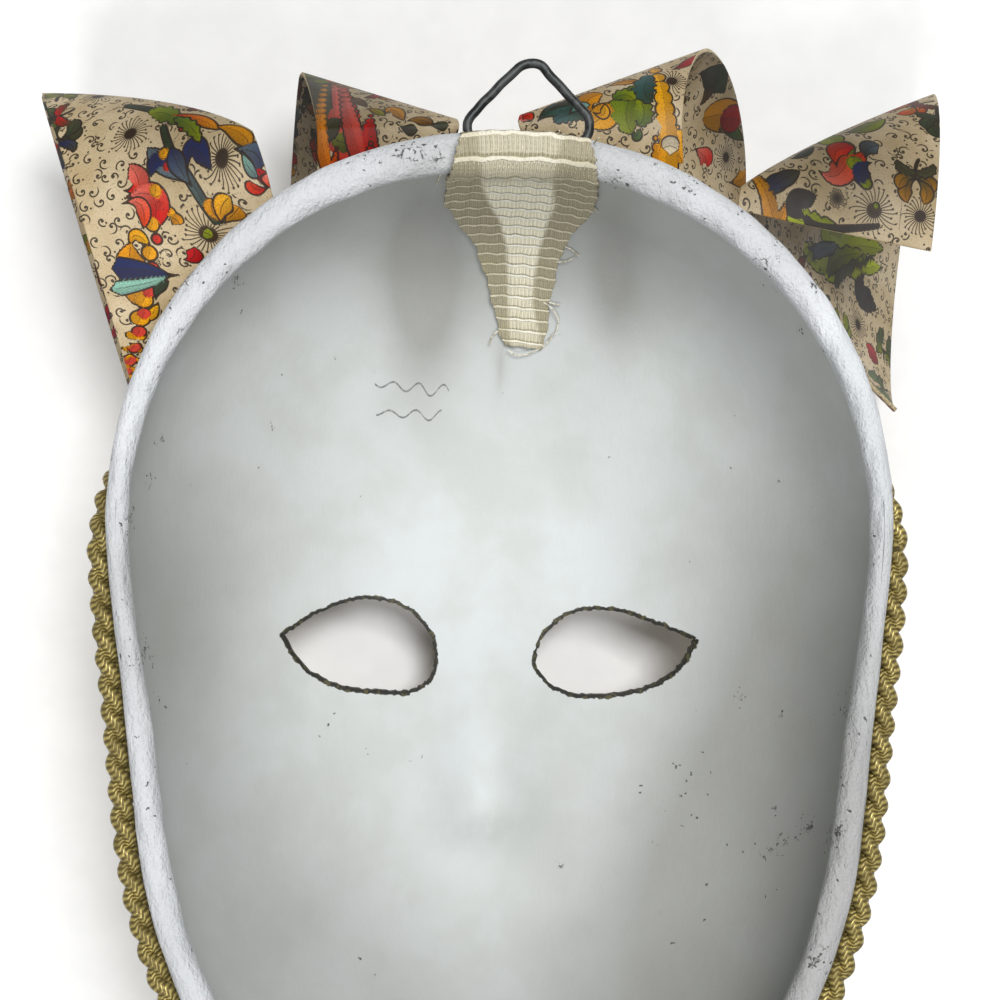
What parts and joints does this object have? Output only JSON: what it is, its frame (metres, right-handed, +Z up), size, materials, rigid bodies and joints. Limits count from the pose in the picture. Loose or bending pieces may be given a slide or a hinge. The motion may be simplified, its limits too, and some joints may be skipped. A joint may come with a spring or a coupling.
{
  "type": "carnival mask",
  "caption": "Full-face papier-mache carnival mask lying face down, its white hollow back up, with rolled printed-paper cornets round the crown, a gold braid and a wire hanger",
  "frame": {"origin": "on the floor under the middle of the box that holds the whole mask", "axes": "+X across the face to the picture's right, +Y from the chin to the crown, +Z up out of the open back; the face looks down"},
  "size_m": [0.2278, 0.2792, 0.0903],
  "materials": {
    "gesso": "brushed white gesso over layered paper, matt, with fine pits and hair cracks",
    "printed_paper": "stiff printed paper, cream ground with leaves, flowers and fine curls, satin varnish",
    "wire": "dark bare steel wire, dull",
    "gauze": "undyed open-weave cloth, stiff with glue",
    "braid": "plaited gold braid, dull sheen"
  },
  "bodies": {
    "root": {"mask_shell": "gesso", "paper_cornet_top_left": "printed_paper", "paper_cornet_top_right": "printed_paper", "paper_cornet_side_left": "printed_paper", "paper_cornet_side_right": "printed_paper", "hanger_wire": "wire", "gauze_tab": "gauze", "gold_braid": "braid"}
  },
  "joints": []
}
